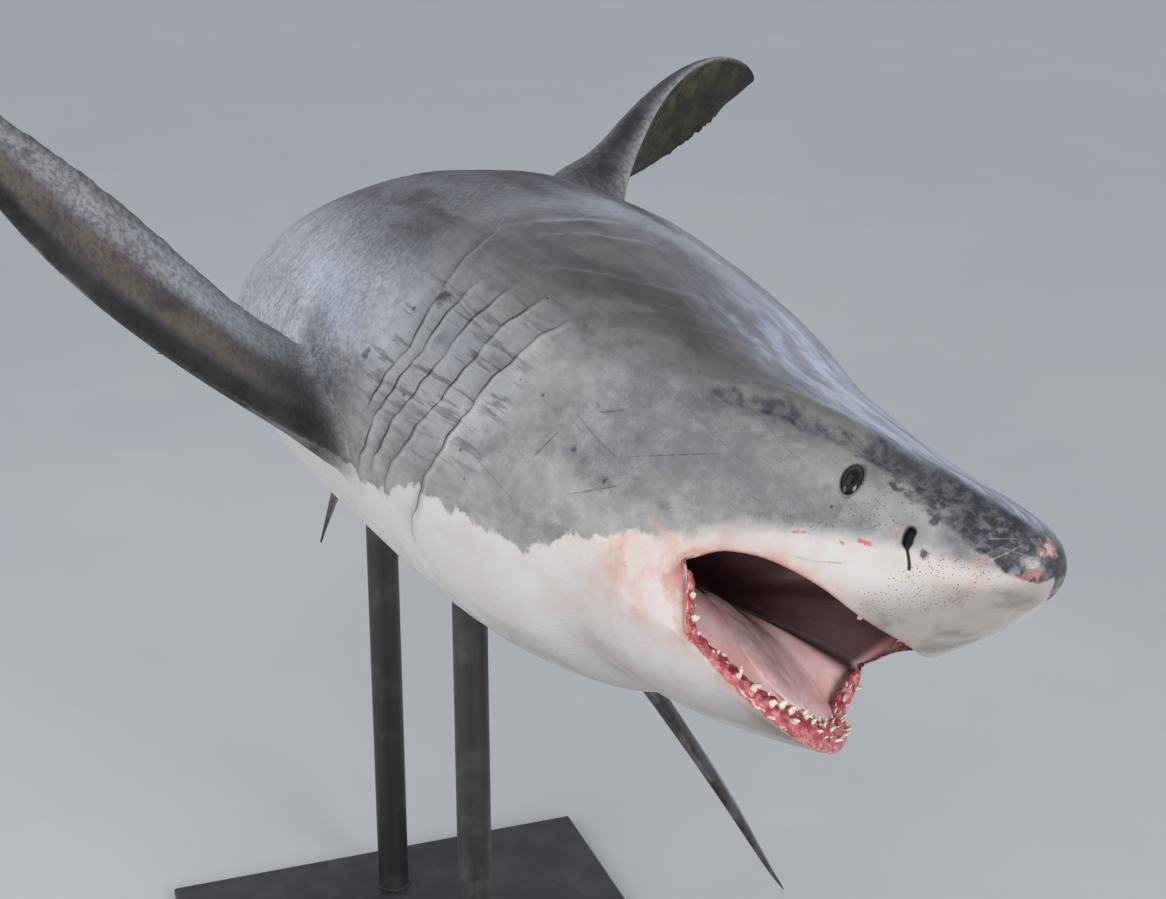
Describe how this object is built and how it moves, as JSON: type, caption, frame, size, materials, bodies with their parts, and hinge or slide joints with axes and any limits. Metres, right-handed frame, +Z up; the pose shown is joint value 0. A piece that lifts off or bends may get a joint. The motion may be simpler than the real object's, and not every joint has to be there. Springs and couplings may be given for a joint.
{
  "type": "great white shark model",
  "caption": "Life-size still model of a great white shark, jaws open and head turned, held above a flat base by two short rods.",
  "frame": {"origin": "centre of the underside of the stand's base, on the floor", "axes": "+Z up; the trunk heads towards -Y, with the animal's left side towards +X; +Y runs from snout to tail"},
  "size_m": [1.8078, 3.6549, 2.0834],
  "materials": {
    "shark_skin": "wet skin, slate grey above and white below",
    "gum_and_teeth": "wet pink gum with ivory teeth",
    "tongue_flesh": "wet pale pink flesh",
    "eye_black": "glossy black eyeball",
    "stand_steel": "satin black paint"
  },
  "bodies": {
    "root": {"head": "shark_skin", "lower_jaw": "shark_skin", "gill_region": "shark_skin", "trunk_front": "shark_skin", "trunk_middle": "shark_skin", "trunk_rear": "shark_skin", "tail_stalk": "shark_skin", "first_dorsal_fin": "shark_skin", "second_dorsal_fin": "shark_skin", "anal_fin": "shark_skin", "pectoral_fin_right": "shark_skin", "pectoral_fin_left": "shark_skin", "pelvic_fin_right": "shark_skin", "pelvic_fin_left": "shark_skin", "caudal_fin_upper": "shark_skin", "caudal_fin_lower": "shark_skin", "gum_upper": "gum_and_teeth", "gum_lower": "gum_and_teeth", "tongue": "tongue_flesh", "eye_right": "eye_black", "eye_left": "eye_black", "stand_base": "stand_steel", "stand_rod_front": "stand_steel", "stand_rod_rear": "stand_steel"}
  },
  "joints": []
}
